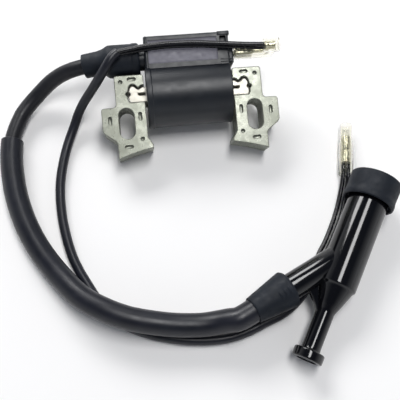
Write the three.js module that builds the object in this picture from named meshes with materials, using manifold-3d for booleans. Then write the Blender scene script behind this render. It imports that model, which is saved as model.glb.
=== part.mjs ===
// Small-engine ignition coil: laminated U armature, potted coil body, high-tension lead in a
// protective tube, elbow spark plug cap, and a sleeved low-tension lead with a bullet connector.
//
// Row frame: millimetres, +Z up, the coil and its leads rest on z = 0. +X runs along the coil
// body, +Y points from the pole shoes to the potting box. The origin is the bottom centre of
// the coil without its leads.
import * as THREE from 'three';
import { mergeVertices } from 'three/addons/utils/BufferGeometryUtils.js';
import Module from 'manifold-3d';

const wasm = await Module();
wasm.setup();

// ---------------------------------------------------------------- driving dimensions
const FIT = 0.3;                 // gap left between neighbouring solids
const ROUND = 32;                // facets on a large round
const SMALL_ROUND = 16;          // facets on a small round

const SLOT_SPACING = 62;         // between the two mounting slots
const SLOT = { width: 7.4, length: 14.8, y: -14 };
const STACK = 14;                // thickness of the lamination stack
const LEG = { inner: 21.5, outer: 35.5, top: 9.2, ear: 42.7, foot: 36.2, shoe: 19.3 };
const POLE = { radius: 110, cornerY: -30.8 };
const BAR = { halfHeight: 4, end: 28.9, gap: 0.45 };

const BODY = { radius: 15.2, y: -0.8, halfLength: 20.4, wall: 1.6 };
const BOX = { left: -19.8, right: 21, low: 8, high: 26.2, bottom: -9, top: 9, wall: 1.5 };
const MOUTH = { left: -18.2, right: 15.3, low: 13.4, high: 24.7 };
const TOWER = { y: 17.8, z: 1, radius: 5.4, length: 10.5, bore: 4.2 };
const BOOT_NECK = { turn: 0.12, droop: 0.06 };
const SPADE = { y: 16.8, z: 4.6, width: 6.3, thickness: 0.8, tip: 31 };

const LEAD = 7.5;                // diameter of the high-tension lead
const CONDUIT = { outer: 10.7, inner: 8.6 };
const SLEEVING = 4.6;            // tube over the two low-tension wires
const WIRE = 2.2;

const KNOB = { radius: 7, length: 4.4, recess: 4.6 };
const NECK = { radius: 4.3, end: 23.4 };
const BARREL = { radius: 9.5, start: 35.5, end: 90 };
const SOCKET = { radius: 7, start: 60 };
const CHANNEL = 2.9;             // radius of the bore through the neck
const SEAL = { radius: 12.4, start: 79, end: 92 };
const ARM = { at: 54, angle: 34.4, radius: 6.2, shoulder: 35.5, end: 44 };
const ARM_BOOT = { start: 34.5, end: 54, bigRadius: 8.7, smallRadius: 6.3 };
const CAP_PLACE = { x: 38.7, y: -130, heading: 59.4, pitch: 3.7, roll: 10 };

// ---------------------------------------------------------------- materials
const COLOURS = {
  steel: [0x9b9d8c, 0.5, 0.8],
  brightSteel: [0xcfccc0, 0.35, 0.9],
  caseBlack: [0x17181b, 0.4, 0],
  epoxy: [0xa9a9b4, 0.7, 0],
  nylon: [0xd8d2bf, 0.6, 0],
  copper: [0xb06a3b, 0.35, 1],
  board: [0x3f6f4a, 0.6, 0],
  brass: [0xb9a05c, 0.3, 1],
  rubber: [0x1c1d20, 0.8, 0],
  phenolic: [0x0b0b0c, 0.15, 0],
  leadBlack: [0x1a1b1e, 0.55, 0],
  clearVinyl: [0xe6e2cf, 0.2, 0],
  ceramic: [0xb9afa0, 0.5, 0],
};

function material(name) {
  const [color, roughness, metalness] = COLOURS[name];
  return new THREE.MeshStandardMaterial({ color, roughness, metalness });
}

function part(name, geometry, look) {
  const mesh = new THREE.Mesh(geometry, material(look));
  mesh.name = name;
  return mesh;
}

// ---------------------------------------------------------------- solid helpers
function solid(geometry) {
  const bare = geometry.index ? geometry.toNonIndexed() : geometry.clone();
  bare.deleteAttribute('normal');
  bare.deleteAttribute('uv');
  const merged = mergeVertices(bare, 1e-4);
  return new wasm.Manifold(new wasm.Mesh({
    numProp: 3,
    vertProperties: new Float32Array(merged.attributes.position.array),
    triVerts: new Uint32Array(merged.index.array),
  }));
}

function geometryOf(manifold) {
  const mesh = manifold.getMesh();
  const geometry = new THREE.BufferGeometry();
  geometry.setAttribute('position', new THREE.BufferAttribute(new Float32Array(mesh.vertProperties), 3));
  geometry.setIndex(new THREE.BufferAttribute(new Uint32Array(mesh.triVerts), 1));
  geometry.computeVertexNormals();
  return geometry;
}

const union = (first, ...rest) => rest.reduce((sum, next) => sum.add(next), first);
const cut = (first, ...rest) => rest.reduce((left, next) => left.subtract(next), first);

// a block between two corners
function block([x0, y0, z0], [x1, y1, z1]) {
  const geometry = new THREE.BoxGeometry(x1 - x0, y1 - y0, z1 - z0);
  return geometry.translate((x0 + x1) / 2, (y0 + y1) / 2, (z0 + z1) / 2);
}

// a rod along X from one x to another
function rodX(radius, x0, x1, y = 0, z = 0, sides = SMALL_ROUND, endRadius = radius) {
  const geometry = new THREE.CylinderGeometry(endRadius, radius, x1 - x0, sides);
  return geometry.rotateZ(-Math.PI / 2).translate((x0 + x1) / 2, y, z);
}

// a closed profile of [radius, distance] pairs turned about the Y axis
function turned(profile, sides = ROUND) {
  const points = profile.map(([radius, along]) => new THREE.Vector2(radius, along));
  if (profile[0][0] > 0) points.push(points[0].clone());
  return new THREE.LatheGeometry(points, sides);
}

function turnedAlongX(profile, sides = ROUND) {
  return turned(profile, sides).rotateZ(-Math.PI / 2);
}

function rectangle(halfWidth, halfHeight, corner, PathClass = THREE.Shape) {
  const path = new PathClass();
  const [w, h, r] = [halfWidth, halfHeight, corner];
  path.moveTo(-w + r, -h);
  path.lineTo(w - r, -h);
  path.absarc(w - r, -h + r, r, -Math.PI / 2, 0);
  path.lineTo(w, h - r);
  path.absarc(w - r, h - r, r, 0, Math.PI / 2);
  path.lineTo(-w + r, h);
  path.absarc(-w + r, h - r, r, Math.PI / 2, Math.PI);
  path.lineTo(-w, -h + r);
  path.absarc(-w + r, -h + r, r, Math.PI, Math.PI * 1.5);
  return path;
}

// a rectangular tube along X around the core bar: y across, z through the stack
function barTube(outer, inner, corner, innerCorner, x0, x1) {
  const shape = rectangle(outer[0], outer[1], corner);
  shape.holes.push(rectangle(inner[0], inner[1], innerCorner, THREE.Path));
  const geometry = new THREE.ExtrudeGeometry(shape, {
    depth: x1 - x0, bevelEnabled: false, curveSegments: 4,
  });
  const basis = new THREE.Matrix4().set(0, 0, 1, x0, 1, 0, 0, 0, 0, 1, 0, 0, 0, 0, 0, 1);
  return geometry.applyMatrix4(basis);
}

// a tube or rod swept along points, with a hole where an inner radius is given
function swept(points, radius, sides, steps, holeRadius = 0) {
  const section = new THREE.Shape();
  section.absarc(0, 0, radius, 0, Math.PI * 2);
  if (holeRadius > 0) {
    const hole = new THREE.Path();
    hole.absarc(0, 0, holeRadius, 0, Math.PI * 2);
    section.holes.push(hole);
  }
  const path = new THREE.CatmullRomCurve3(points.map((p) => new THREE.Vector3(...p)));
  return new THREE.ExtrudeGeometry(section, {
    steps, extrudePath: path, curveSegments: sides, bevelEnabled: false,
  });
}

// ---------------------------------------------------------------- armature
// One leg, drawn for the +X side in the plane of the laminations.
function legShape() {
  const poleY = (x) => POLE.cornerY - Math.sqrt(POLE.radius ** 2 - LEG.foot ** 2)
    + Math.sqrt(POLE.radius ** 2 - x ** 2);
  const gapHalf = BAR.halfHeight + BAR.gap;
  const shape = new THREE.Shape();
  shape.moveTo(LEG.inner, LEG.top);
  shape.lineTo(LEG.outer - 1, LEG.top);
  shape.quadraticCurveTo(LEG.outer, LEG.top, LEG.outer, LEG.top - 1);
  shape.lineTo(LEG.outer, -4.4);
  shape.quadraticCurveTo(LEG.outer + 0.2, -6, LEG.outer + 1.8, -6);
  shape.lineTo(LEG.ear - 1.2, -6);
  shape.quadraticCurveTo(LEG.ear, -6, LEG.ear, -7.2);
  shape.lineTo(LEG.ear, -16.6);
  shape.quadraticCurveTo(LEG.ear - 0.3, -18, LEG.ear - 1.5, -18.9);
  shape.lineTo(LEG.foot + 1.4, -21.6);
  shape.quadraticCurveTo(LEG.foot, -22.4, LEG.foot, -23.8);
  shape.lineTo(LEG.foot, POLE.cornerY);
  for (const x of [32.8, 29.4, 26, 22.6, LEG.shoe]) shape.lineTo(x, poleY(x));
  shape.lineTo(LEG.shoe, -24.8);
  shape.lineTo(LEG.inner, -21.3);
  // pocket for the interlocking end of the centre bar
  shape.lineTo(LEG.inner, -gapHalf);
  shape.lineTo(BAR.end - 1, -gapHalf);
  shape.quadraticCurveTo(BAR.end + BAR.gap, -gapHalf, BAR.end + BAR.gap, -1.2);
  shape.absarc(BAR.end + BAR.gap, 0, 1.2, -Math.PI / 2, Math.PI / 2);
  shape.quadraticCurveTo(BAR.end + BAR.gap, gapHalf - 0.6, BAR.end - 1, gapHalf - 0.6);
  shape.quadraticCurveTo(25.4, gapHalf - 2.4, LEG.inner + 1.4, gapHalf);
  shape.lineTo(LEG.inner, gapHalf);
  shape.closePath();
  return shape;
}

function slotPath(x) {
  const slot = new THREE.Path();
  const half = SLOT.width / 2;
  const run = SLOT.length / 2 - half;
  slot.moveTo(x + half, SLOT.y - run);
  slot.lineTo(x + half, SLOT.y + run);
  slot.absarc(x, SLOT.y + run, half, 0, Math.PI);
  slot.lineTo(x - half, SLOT.y - run);
  slot.absarc(x, SLOT.y - run, half, Math.PI, Math.PI * 2);
  return slot;
}

function legGeometry(side) {
  const shape = legShape();
  shape.holes.push(slotPath(SLOT_SPACING / 2));
  const geometry = new THREE.ExtrudeGeometry(shape, {
    depth: STACK, bevelEnabled: false, curveSegments: 7,
  });
  geometry.translate(0, 0, -STACK / 2);
  return side > 0 ? geometry : geometry.rotateY(Math.PI);
}

// The centre bar: one half outline, mirrored. Its wavy ends lock into the legs' pockets.
function barGeometry() {
  const half = BAR.halfHeight;
  const outline = new THREE.Shape();
  outline.moveTo(0.1, -half);
  outline.lineTo(BAR.end - 1, -half);
  outline.quadraticCurveTo(BAR.end, -half, BAR.end, -1.2);
  outline.lineTo(BAR.end, 1.2);
  outline.quadraticCurveTo(BAR.end, half - 0.6, BAR.end - 1, half - 0.6);
  outline.quadraticCurveTo(25.4, half - 2.4, LEG.inner + 1.4, half);
  outline.lineTo(0.1, half);
  const right = outline.getPoints(4);
  const left = right.map((p) => new THREE.Vector2(-p.x, p.y)).reverse();
  const shape = new THREE.Shape([...right, ...left]);
  const geometry = new THREE.ExtrudeGeometry(shape, { depth: STACK, bevelEnabled: false });
  return geometry.translate(0, 0, -STACK / 2);
}

function armature() {
  const group = new THREE.Group();
  group.add(part('left_leg_core', legGeometry(-1), 'steel'));
  group.add(part('right_leg_core', legGeometry(1), 'steel'));
  group.add(part('centre_core_bar', barGeometry(), 'brightSteel'));
  return group;
}

// ---------------------------------------------------------------- coil body
// The moulded case: a barrel round the bar with one open end, a potting box and a lead tower.
function caseGeometry() {
  const { radius, y, halfLength, wall } = BODY;
  const inner = radius - wall;
  const barrel = solid(rodX(radius, -halfLength, halfLength, y, 0, 48));
  const box = solid(block([BOX.left, BOX.low, BOX.bottom], [BOX.right, BOX.high, BOX.top]));
  const terminalBlock = solid(block([14, 11.5, -2], [22.8, 20.2, BOX.top - 0.6]));
  const tower = solid(rodX(TOWER.radius, BOX.left - TOWER.length, BOX.left + 1, TOWER.y, TOWER.z, 20));
  const bore = solid(rodX(inner, -halfLength + wall, halfLength + 1, y, 0, 40));
  const barWindow = solid(block([-halfLength - 1, -4.4, -7.4], [0, 4.4, 7.4]));
  const well = solid(block(
    [MOUTH.left, 8, BOX.bottom + BOX.wall],
    [MOUTH.right, MOUTH.high, BOX.top + 1],
  ));
  const rim = solid(block([MOUTH.left - 1, 4, 4.2], [MOUTH.right + 1, MOUTH.low, BOX.top + 1]));
  const towerBore = solid(rodX(TOWER.bore, BOX.left - TOWER.length - 1, -24.6, TOWER.y, TOWER.z, 12));
  const pinHole = solid(rodX(1.4, -26, MOUTH.left + 1, TOWER.y, TOWER.z, 8));
  const spadeSlot = solid(block(
    [MOUTH.right - 1, SPADE.y - 0.8, SPADE.z - SPADE.width / 2 - 0.4],
    [24, SPADE.y + 0.8, SPADE.z + SPADE.width / 2 + 0.4],
  ));
  const terminalRecess = solid(block([16.6, 21.4, 6.6], [19.8, 24.8, BOX.top + 1]));
  const outer = union(barrel, box, terminalBlock, tower);
  const hollow = union(bore, cut(well, rim), barWindow, towerBore, pinHole, spadeSlot, terminalRecess);
  return geometryOf(outer.subtract(hollow));
}

// The grey compound that closes the potting box.
function pottingGeometry() {
  return block(
    [MOUTH.left + FIT, MOUTH.low + FIT, BOX.top - 3.4],
    [MOUTH.right - FIT, MOUTH.high - FIT, BOX.top - 0.5],
  );
}

function primaryBobbin() {
  const length = 17.4;
  const tube = solid(barTube([5.1, 8.1], [4.3, 7.3], 1.2, 0.4, -length, length));
  const flange = (x) => solid(barTube([6, 8.8], [4.3, 7.3], 2.2, 0.4, x, x + 0.8));
  return geometryOf(union(tube, flange(-length), flange(length - 0.8)));
}

function secondaryBobbin() {
  const [inside, floor, rim] = [10.9, 11.4, BODY.radius - BODY.wall - FIT];
  const [left, right] = [-18.2, 19.8];
  const profile = [
    [inside, left], [rim, left], [rim, left + 1], [floor, left + 1],
    [floor, right - 1.6], [rim, right - 1.6], [rim, right], [inside, right],
  ];
  return turnedAlongX(profile).translate(0, BODY.y, 0);
}

function windings() {
  const group = new THREE.Group();
  group.add(part('primary_winding', barTube([6, 8.8], [5.4, 8.4], 2.2, 1.4, -16.2, 16.2), 'copper'));
  const secondary = turnedAlongX([[11.7, -16.8], [12.9, -16.8], [12.9, 17.8], [11.7, 17.8]]);
  group.add(part('secondary_winding', secondary.translate(0, BODY.y, 0), 'copper'));
  return group;
}

// The ignition module under the potting: a board with its parts standing on it.
function module() {
  const group = new THREE.Group();
  const floor = -4;
  const top = floor + 1.2;
  group.add(part('module_board', block([-17, 15.2, floor], [14, 24, top]), 'board'));
  group.add(part('power_transistor', block([-14, 16.2, top + FIT], [-5, 22.8, top + 3.6]), 'caseBlack'));
  group.add(part('film_capacitor', block([-2, 16.6, top + FIT], [4, 22.4, top + 4.6]), 'brass'));
  for (const [index, y] of [17.6, 21.6].entries()) {
    const body = rodX(1, 6.4, 11.6, y, top + FIT + 1.1, 8);
    group.add(part(`board_resistor_${index + 1}`, body, 'ceramic'));
  }
  return group;
}

function terminals() {
  const group = new THREE.Group();
  const { y, z, width, thickness, tip } = SPADE;
  const blade = block(
    [MOUTH.right + 0.4, y - thickness / 2, z - width / 2],
    [tip, y + thickness / 2, z + width / 2],
  );
  group.add(part('lt_spade_terminal', blade, 'brass'));
  const pin = turnedAlongX([[0, -24.3], [1.1, -24.3], [1.1, -19.4], [0, -19.4]], 8);
  group.add(part('hv_terminal_pin', pin.translate(0, TOWER.y, TOWER.z), 'brass'));
  return group;
}

// Insulated flag connector on the spade: the socket lies along X, the wire folds back above it.
function flagConnector() {
  const group = new THREE.Group();
  const { y, z } = SPADE;
  const upper = { y: y + 0.5, z: z + 8.4 };
  const socket = cut(
    solid(block([23.6, y - 1.4, z - 3.9], [33, y + 1.4, z + 3.9])),
    solid(block([23, y - 0.75, z - 3.45], [31.6, y + 0.75, z + 3.45])),
  );
  const strap = solid(block([32.6, y - 0.5, z - 2.4], [40.6, y + 0.5, z + 3]));
  const riser = solid(block([38.2, y - 0.5, z], [40.6, y + 0.5, upper.z]));
  const crimp = solid(rodX(2, 37.6, 42.4, upper.y, upper.z, 10));
  const terminal = union(socket, strap, riser, crimp);
  group.add(part('flag_terminal', geometryOf(terminal), 'brass'));

  const shell = union(
    solid(block([23, y - 2.3, z - 4.7], [43.4, y + 2.3, z + 4.7])),
    solid(block([37.4, y - 2.3, z], [43.4, y + 2.3, upper.z])),
    solid(rodX(3.3, 36.6, 44.6, upper.y, upper.z, SMALL_ROUND)),
  );
  const space = union(
    solid(block([22, y - 1.75, z - 4.2], [42.8, y + 1.75, z + 4.2])),
    solid(block([37.9, y - 1.6, z], [42.8, y + 1.6, upper.z])),
    solid(rodX(2.7, 36, 43.8, upper.y, upper.z, SMALL_ROUND)),
  );
  group.add(part('flag_sleeve', geometryOf(shell.subtract(space)), 'clearVinyl'));
  return group;
}

// The rubber boot over the tower, in the coil's own frame; the lead's bore is cut afterwards.
function towerBoot() {
  const sleeve = turnedAlongX([
    [0, -40.4], [5.7, -40.4], [7.7, -37.8], [7.7, -23.2], [7.3, -22.4], [0, -22.4],
  ], 24);
  const neck = rodX(5.7, -10.4, 1.5, 0, 0, 24).rotateZ(BOOT_NECK.turn).rotateY(-BOOT_NECK.droop);
  const socket = rodX(TOWER.radius + FIT, -30.8, -21, 0, 0, SMALL_ROUND);
  const shell = union(solid(sleeve), solid(neck.translate(-39.4, 0, 0)));
  return shell.subtract(solid(socket)).translate([0, TOWER.y, TOWER.z]);
}

function coilBody() {
  const group = new THREE.Group();
  group.add(part('coil_case', caseGeometry(), 'caseBlack'));
  group.add(part('potting_compound', pottingGeometry(), 'epoxy'));
  group.add(part('primary_bobbin', primaryBobbin(), 'nylon'));
  group.add(part('secondary_bobbin', secondaryBobbin(), 'nylon'));
  group.add(windings(), module(), terminals());
  return group;
}

// The coil leans: its barrel and the tips of its pole shoes touch the surface.
const dropToTip = BODY.y - POLE.cornerY;
const lean = Math.asin(BODY.radius / Math.hypot(dropToTip, STACK / 2))
  - Math.atan2(STACK / 2, dropToTip);

const coil = new THREE.Group();
coil.rotation.x = lean;
coil.add(armature(), coilBody());
coil.updateMatrixWorld(true);
const coilBox = new THREE.Box3().setFromObject(coil, true);
coil.position.set(0, -(coilBox.min.y + coilBox.max.y) / 2, -coilBox.min.z);
coil.add(flagConnector());
coil.updateMatrixWorld(true);

// ---------------------------------------------------------------- spark plug cap
// Built with its axis along +Y from the knob's end face, and its arm in the XY plane.
const armTurn = (ARM.angle * Math.PI) / 180;

// place a solid that is drawn along Y onto the arm's axis, measured from the barrel's axis
function alongArm(geometry) {
  return geometry.rotateZ(Math.PI - armTurn).translate(0, ARM.at, 0);
}

function capShell() {
  const body = solid(turned([
    [0, 0], [KNOB.radius - 0.8, 0], [KNOB.radius, 0.8], [KNOB.radius, KNOB.length - 0.6],
    [KNOB.radius - 0.8, KNOB.length], [NECK.radius + 0.7, KNOB.length + 0.3],
    [NECK.radius, KNOB.length + 1.4], [NECK.radius, NECK.end], [NECK.radius + 1, NECK.end + 2.4],
    [BARREL.radius - 0.5, BARREL.start - 1.4], [BARREL.radius, BARREL.start],
    [BARREL.radius, BARREL.end], [0, BARREL.end],
  ]));
  const arm = solid(alongArm(turned([
    [0, 0], [ARM.radius, 0], [ARM.radius, ARM.shoulder], [5.1, ARM.shoulder],
    [5.1, ARM.end - 1], [4.7, ARM.end], [0, ARM.end],
  ], 24)));
  const bore = solid(turned([
    [0, -1], [KNOB.recess, -1], [KNOB.recess, 2.2], [CHANNEL, 2.2],
    [CHANNEL, SOCKET.start - 3], [SOCKET.radius, SOCKET.start], [SOCKET.radius, BARREL.end + 1],
    [0, BARREL.end + 1],
  ], 24));
  const armBore = solid(alongArm(turned([
    [0, 0.5], [2.3, 0.5], [2.3, 10], [4.1, 10], [4.1, ARM.end + 1], [0, ARM.end + 1],
  ], 12)));
  return geometryOf(union(body, arm, solid(webPlate())).subtract(union(bore, armBore)));
}

// the thin web between the arm and the neck
function webPlate() {
  const thickness = 2.6;
  const shape = new THREE.Shape();
  shape.moveTo(-3.4, 20);
  shape.quadraticCurveTo(-5.6, 25, -11, 28.4);
  shape.lineTo(-11, 34);
  shape.lineTo(-3.4, 36);
  shape.closePath();
  const geometry = new THREE.ExtrudeGeometry(shape, {
    depth: thickness, bevelEnabled: false, curveSegments: 6,
  });
  return geometry.translate(0, 0, -thickness / 2);
}

// The rubber ring over the barrel's mouth, with a rolled rim and a lip that grips the plug.
function sealRing() {
  const { radius, start, end } = SEAL;
  const inside = BARREL.radius + FIT;
  return turned([
    [inside, start], [radius - 1.2, start], [radius, start + 1.4], [radius - 0.2, start + 6],
    [radius, end - 1.4], [radius - 1.2, end], [8.2, end], [7.6, end - 0.6],
    [8.2, BARREL.end + FIT], [inside, BARREL.end + FIT],
  ]);
}

// Coil spring between the end seal and the resistor, wound from round wire.
function capSpring() {
  const [radius, wire, low, high, turns, perTurn] = [2.0, 0.4, 6, 24, 7, 9];
  const points = [];
  for (let i = 0; i <= turns * perTurn; i += 1) {
    const angle = (i / perTurn) * Math.PI * 2;
    const along = low + (high - low) * (i / (turns * perTurn));
    points.push([radius * Math.cos(angle), along, radius * Math.sin(angle)]);
  }
  return swept(points, wire, 5, turns * perTurn);
}

function capInside() {
  const group = new THREE.Group();
  const resistor = turned([[0, 24.8], [2.4, 24.8], [2.5, 26], [2.5, 42.8], [2.4, 44], [0, 44]], 12);
  group.add(part('cap_resistor', resistor, 'ceramic'));
  group.add(part('cap_spring', capSpring(), 'brightSteel'));
  const clip = turned([
    [0, 44.4], [1.3, 44.4], [1.3, 60.4], [4.6, 60.4], [4.6, 69], [3.7, 69], [3.7, 61.3], [0, 61.3],
  ], SMALL_ROUND);
  group.add(part('plug_clip', clip, 'brass'));
  const spike = alongArm(turned([
    [0, 3.8], [0.5, 3.8], [1.4, 6.4], [1.8, 10.4], [3, 10.4], [3, 11.6], [0, 11.6],
  ], 10));
  group.add(part('lead_screw', spike, 'brass'));
  const stopper = turned([[0, 0.4], [KNOB.recess - FIT, 0.4], [KNOB.recess - FIT, 1.9], [0, 1.9]], 24);
  group.add(part('neck_stopper', stopper, 'rubber'));
  return group;
}

// The tapered rubber boot over the end of the arm and the end of the protective tube.
function armBoot() {
  const { start, end, bigRadius, smallRadius } = ARM_BOOT;
  const armBore = 5.1 + FIT;
  const tubeBore = CONDUIT.outer / 2 + 0.5;
  return alongArm(turned([
    [ARM.radius + FIT, start], [bigRadius - 0.7, start], [bigRadius, start + 0.9],
    [smallRadius + 0.6, end - 1], [smallRadius + 0.1, end], [tubeBore, end],
    [tubeBore, ARM.end + FIT], [armBore, ARM.end + FIT], [armBore, ARM.shoulder + FIT],
    [ARM.radius + FIT, ARM.shoulder + FIT],
  ], 24));
}

function plugCap() {
  const cap = new THREE.Group();
  const degrees = Math.PI / 180;
  cap.rotation.order = 'ZXY';
  cap.rotation.set(
    CAP_PLACE.pitch * degrees,
    CAP_PLACE.roll * degrees,
    (CAP_PLACE.heading - 90) * degrees,
  );
  cap.position.set(CAP_PLACE.x, CAP_PLACE.y, KNOB.radius + 0.25);
  cap.add(part('cap_shell', capShell(), 'phenolic'));
  cap.add(part('cap_seal', sealRing(), 'rubber'));
  cap.add(part('arm_boot', armBoot(), 'rubber'));
  cap.add(capInside());
  return cap;
}

// ---------------------------------------------------------------- leads
// Equal steps along a smooth route, so that tubes round one another share their corners.
class StepPath extends THREE.Curve {
  constructor(points) {
    super();
    this.points = points;
  }

  getPoint(t) {
    const last = this.points.length - 1;
    const index = Math.min(Math.floor(t * last), last - 1);
    return this.points[index].clone().lerp(this.points[index + 1], t * last - index);
  }

  getSpacedPoints() {
    return this.points;
  }
}

function spaced(route, count) {
  const curve = new THREE.CatmullRomCurve3(route.map((p) => new THREE.Vector3(...p)));
  return curve.getSpacedPoints(count);
}

function stepTube(points, radius, sides, holeRadius = 0) {
  const section = new THREE.Shape(circle(radius, sides));
  if (holeRadius > 0) section.holes.push(new THREE.Path(circle(holeRadius, sides)));
  return new THREE.ExtrudeGeometry(section, {
    steps: points.length - 1, extrudePath: new StepPath(points), bevelEnabled: false,
  });
}

function circle(radius, sides) {
  const corner = (i) => (i / sides) * Math.PI * 2;
  return Array.from({ length: sides }, (_, i) => (
    new THREE.Vector2(radius * Math.cos(corner(i)), radius * Math.sin(corner(i)))
  ));
}

// a socket that runs along a straight line in the row frame, drawn along +Y from its start
function layAlong(mesh, start, end) {
  const from = new THREE.Vector3(...start);
  const direction = new THREE.Vector3(...end).sub(from).normalize();
  mesh.position.copy(from);
  mesh.quaternion.setFromUnitVectors(new THREE.Vector3(0, 1, 0), direction);
  return mesh;
}

// Route of the high-tension lead's centre line, from the tower to the cap's arm.
const LEAD_ROUTE = [
  [-25.2, 18.7, 21.4], [-30, 18.7, 21.4], [-35, 18.7, 21.4], [-39.4, 18.7, 21.4],
  [-44.4, 18.2, 21], [-49.7, 17.8, 20.3], [-55.5, 17.5, 18.6], [-61.5, 16.9, 15.6],
  [-66.6, 15.5, 12.5], [-71.2, 13, 9.6], [-75.3, 10, 7.5], [-78.9, 6.7, 6.2],
  [-82, 2.8, 5.6], [-84.2, -1.6, 5.4], [-86, -6.3, 5.4], [-87.3, -11.2, 5.4],
  [-87.9, -18.5, 5.4], [-87.8, -25.4, 5.4], [-87.1, -32.7, 5.4], [-85.9, -40.4, 5.4],
  [-82.7, -52.2, 5.4], [-78, -63.6, 5.4], [-72.7, -73, 5.5], [-65.5, -83.2, 6.8],
  [-57.2, -92.7, 9.2], [-47.8, -99.2, 10.6], [-37.5, -104.1, 10.6], [-24, -107.7, 9.6],
  [-14.1, -109.4, 9], [-4.4, -110.2, 9.2], [2.2, -110, 10.4], [6.4, -109.9, 12],
  [10.2, -110, 13.2], [13.85, -108.6, 13.3], [17.45, -106.9, 13.15], [21.05, -105.15, 12.95],
  [25.55, -103, 12.75], [35.05, -98.5, 12.3], [49, -91.8, 11.6], [55.15, -88.85, 11.3],
];
const LEAD_STEPS = 58;
const CONDUIT_SPAN = [16, 51];   // the steps of the lead that the protective tube covers

// The sleeving: over the coil's boot, down to the surface, under the tube and under the arm.
const SLEEVING_ROUTE = [
  [-32.4, 17.1, 32], [-35.1, 14.9, 31.9], [-37.9, 11.6, 30.4], [-42.7, 7.3, 25.2],
  [-47, 5.2, 18.4], [-51.5, 2.4, 12.2], [-54.7, -1.1, 8], [-57.3, -5.9, 5],
  [-59.9, -11.3, 3.1], [-62, -17, 2.4], [-64.2, -25.8, 2.35], [-65.6, -34.7, 2.35],
  [-65.8, -46.4, 2.35], [-64.6, -58, 2.35], [-61.7, -71, 2.35], [-58.6, -79, 2.35],
  [-55.1, -85.9, 2.35], [-51.1, -93.2, 2.35], [-45.5, -100.5, 2.35], [-38.3, -106.3, 2.35],
  [-28.7, -110.9, 2.35], [-20, -113.6, 2.35], [-11.1, -115.5, 2.35], [-2.2, -116.4, 2.35],
  [7, -116.2, 2.35], [15.5, -114.3, 2.35], [23.9, -111.2, 2.35], [32.6, -107.9, 2.35],
  [39.6, -103.3, 2.35], [45.4, -97.3, 2.35], [49.8, -90.6, 2.35], [52.6, -86.2, 2.35],
];

// The two low-tension wires above the coil, one over the other, from the flag terminal.
const UPPER_WIRE_ROUTE = [
  [37.2, 14.8, 34], [29.9, 15.6, 33.7], [21.9, 16.6, 33.6], [14.4, 17.5, 33.6],
  [6.8, 18.4, 33.6], [-0.8, 18.9, 33.6], [-9.3, 19, 33.6], [-16.6, 18.7, 33.5],
  [-24.4, 17.9, 33.3], [-31.1, 17.3, 33.2],
];
const WIRE_PITCH = 2.5;          // between the centres of the two wires
const LOWER_WIRE_ROUTE = UPPER_WIRE_ROUTE.map(([x, y, z]) => [x, y, z - WIRE_PITCH]);

// The same two wires where they leave the sleeving for the bullet connector.
const LEFT_WIRE_ROUTE = [
  [51.9, -85, 1.5], [55, -80.6, 1.25], [58.2, -76.2, 1.2], [62.5, -69.2, 1.2], [67, -60.6, 1.2],
  [70, -53.4, 1.4], [71.8, -48, 2.3], [73, -43.4, 3.5], [74.2, -37.8, 3.55],
];
const RIGHT_WIRE_ROUTE = [
  [54, -86.4, 1.5], [57.4, -82, 1.25], [60.8, -77.3, 1.2], [65.2, -70.3, 1.2], [69.8, -61.6, 1.2],
  [72.7, -54, 1.4], [74.4, -48.6, 2.3], [75.5, -43.8, 3.5], [76.6, -38.2, 3.55],
];
const BULLET = { start: [74.3, -43.5, 3.55], end: [79.6, -16.7, 3.55] };

function highTensionLead() {
  const group = new THREE.Group();
  const steps = spaced(LEAD_ROUTE, LEAD_STEPS);
  group.add(part('hv_lead', stepTube(steps, LEAD / 2, 10), 'leadBlack'));
  const covered = steps.slice(CONDUIT_SPAN[0], CONDUIT_SPAN[1] + 1);
  const conduit = stepTube(covered, CONDUIT.outer / 2, 12, CONDUIT.inner / 2);
  group.add(part('lead_conduit', conduit, 'leadBlack'));
  const bore = solid(stepTube(steps.slice(0, 9), LEAD / 2 + 0.4, 10));
  const boot = towerBoot().transform(coil.matrixWorld.elements);
  group.add(part('hv_boot', geometryOf(boot.subtract(bore)), 'rubber'));
  return group;
}

function lowTensionLead() {
  const group = new THREE.Group();
  const wires = {
    lt_wire_upper: UPPER_WIRE_ROUTE,
    lt_wire_lower: LOWER_WIRE_ROUTE,
    bullet_wire_left: LEFT_WIRE_ROUTE,
    bullet_wire_right: RIGHT_WIRE_ROUTE,
  };
  for (const [name, route] of Object.entries(wires)) {
    group.add(part(name, stepTube(spaced(route, 12), WIRE / 2, 8), 'leadBlack'));
  }
  const sleeving = stepTube(spaced(SLEEVING_ROUTE, 40), SLEEVING / 2, 8);
  group.add(part('wire_sleeving', sleeving, 'leadBlack'));
  return group;
}

function bulletConnector() {
  const group = new THREE.Group();
  const terminal = turned([
    [0, 6.2], [2.4, 6.2], [2.4, 12], [1.7, 12.8], [2.25, 13.4], [2.25, 20.6], [1.85, 20.6],
    [1.85, 14], [0, 14],
  ], SMALL_ROUND);
  const sleeve = turned([
    [3, 0], [3.5, 0], [3.5, 16], [3.05, 19], [3.05, 27.3], [2.6, 27.3], [2.6, 19], [3, 16],
  ], SMALL_ROUND);
  group.add(layAlong(part('bullet_terminal', terminal, 'brass'), BULLET.start, BULLET.end));
  group.add(layAlong(part('bullet_sleeve', sleeve, 'clearVinyl'), BULLET.start, BULLET.end));
  return group;
}

// ---------------------------------------------------------------- the whole part
const ignitionCoil = new THREE.Group();
ignitionCoil.add(coil, highTensionLead(), lowTensionLead(), bulletConnector(), plugCap());
export default ignitionCoil;
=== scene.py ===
"""Looks of the ignition coil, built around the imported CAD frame.

Lengths below are in millimetres, in the row frame or in the coil's or the cap's own frame;
MM turns them into metres where a mesh or curve is made.
"""

import math

import bmesh
import bpy
import numpy as np
from mathutils import Euler, Matrix, Vector
from mathutils.geometry import tessellate_polygon


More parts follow.
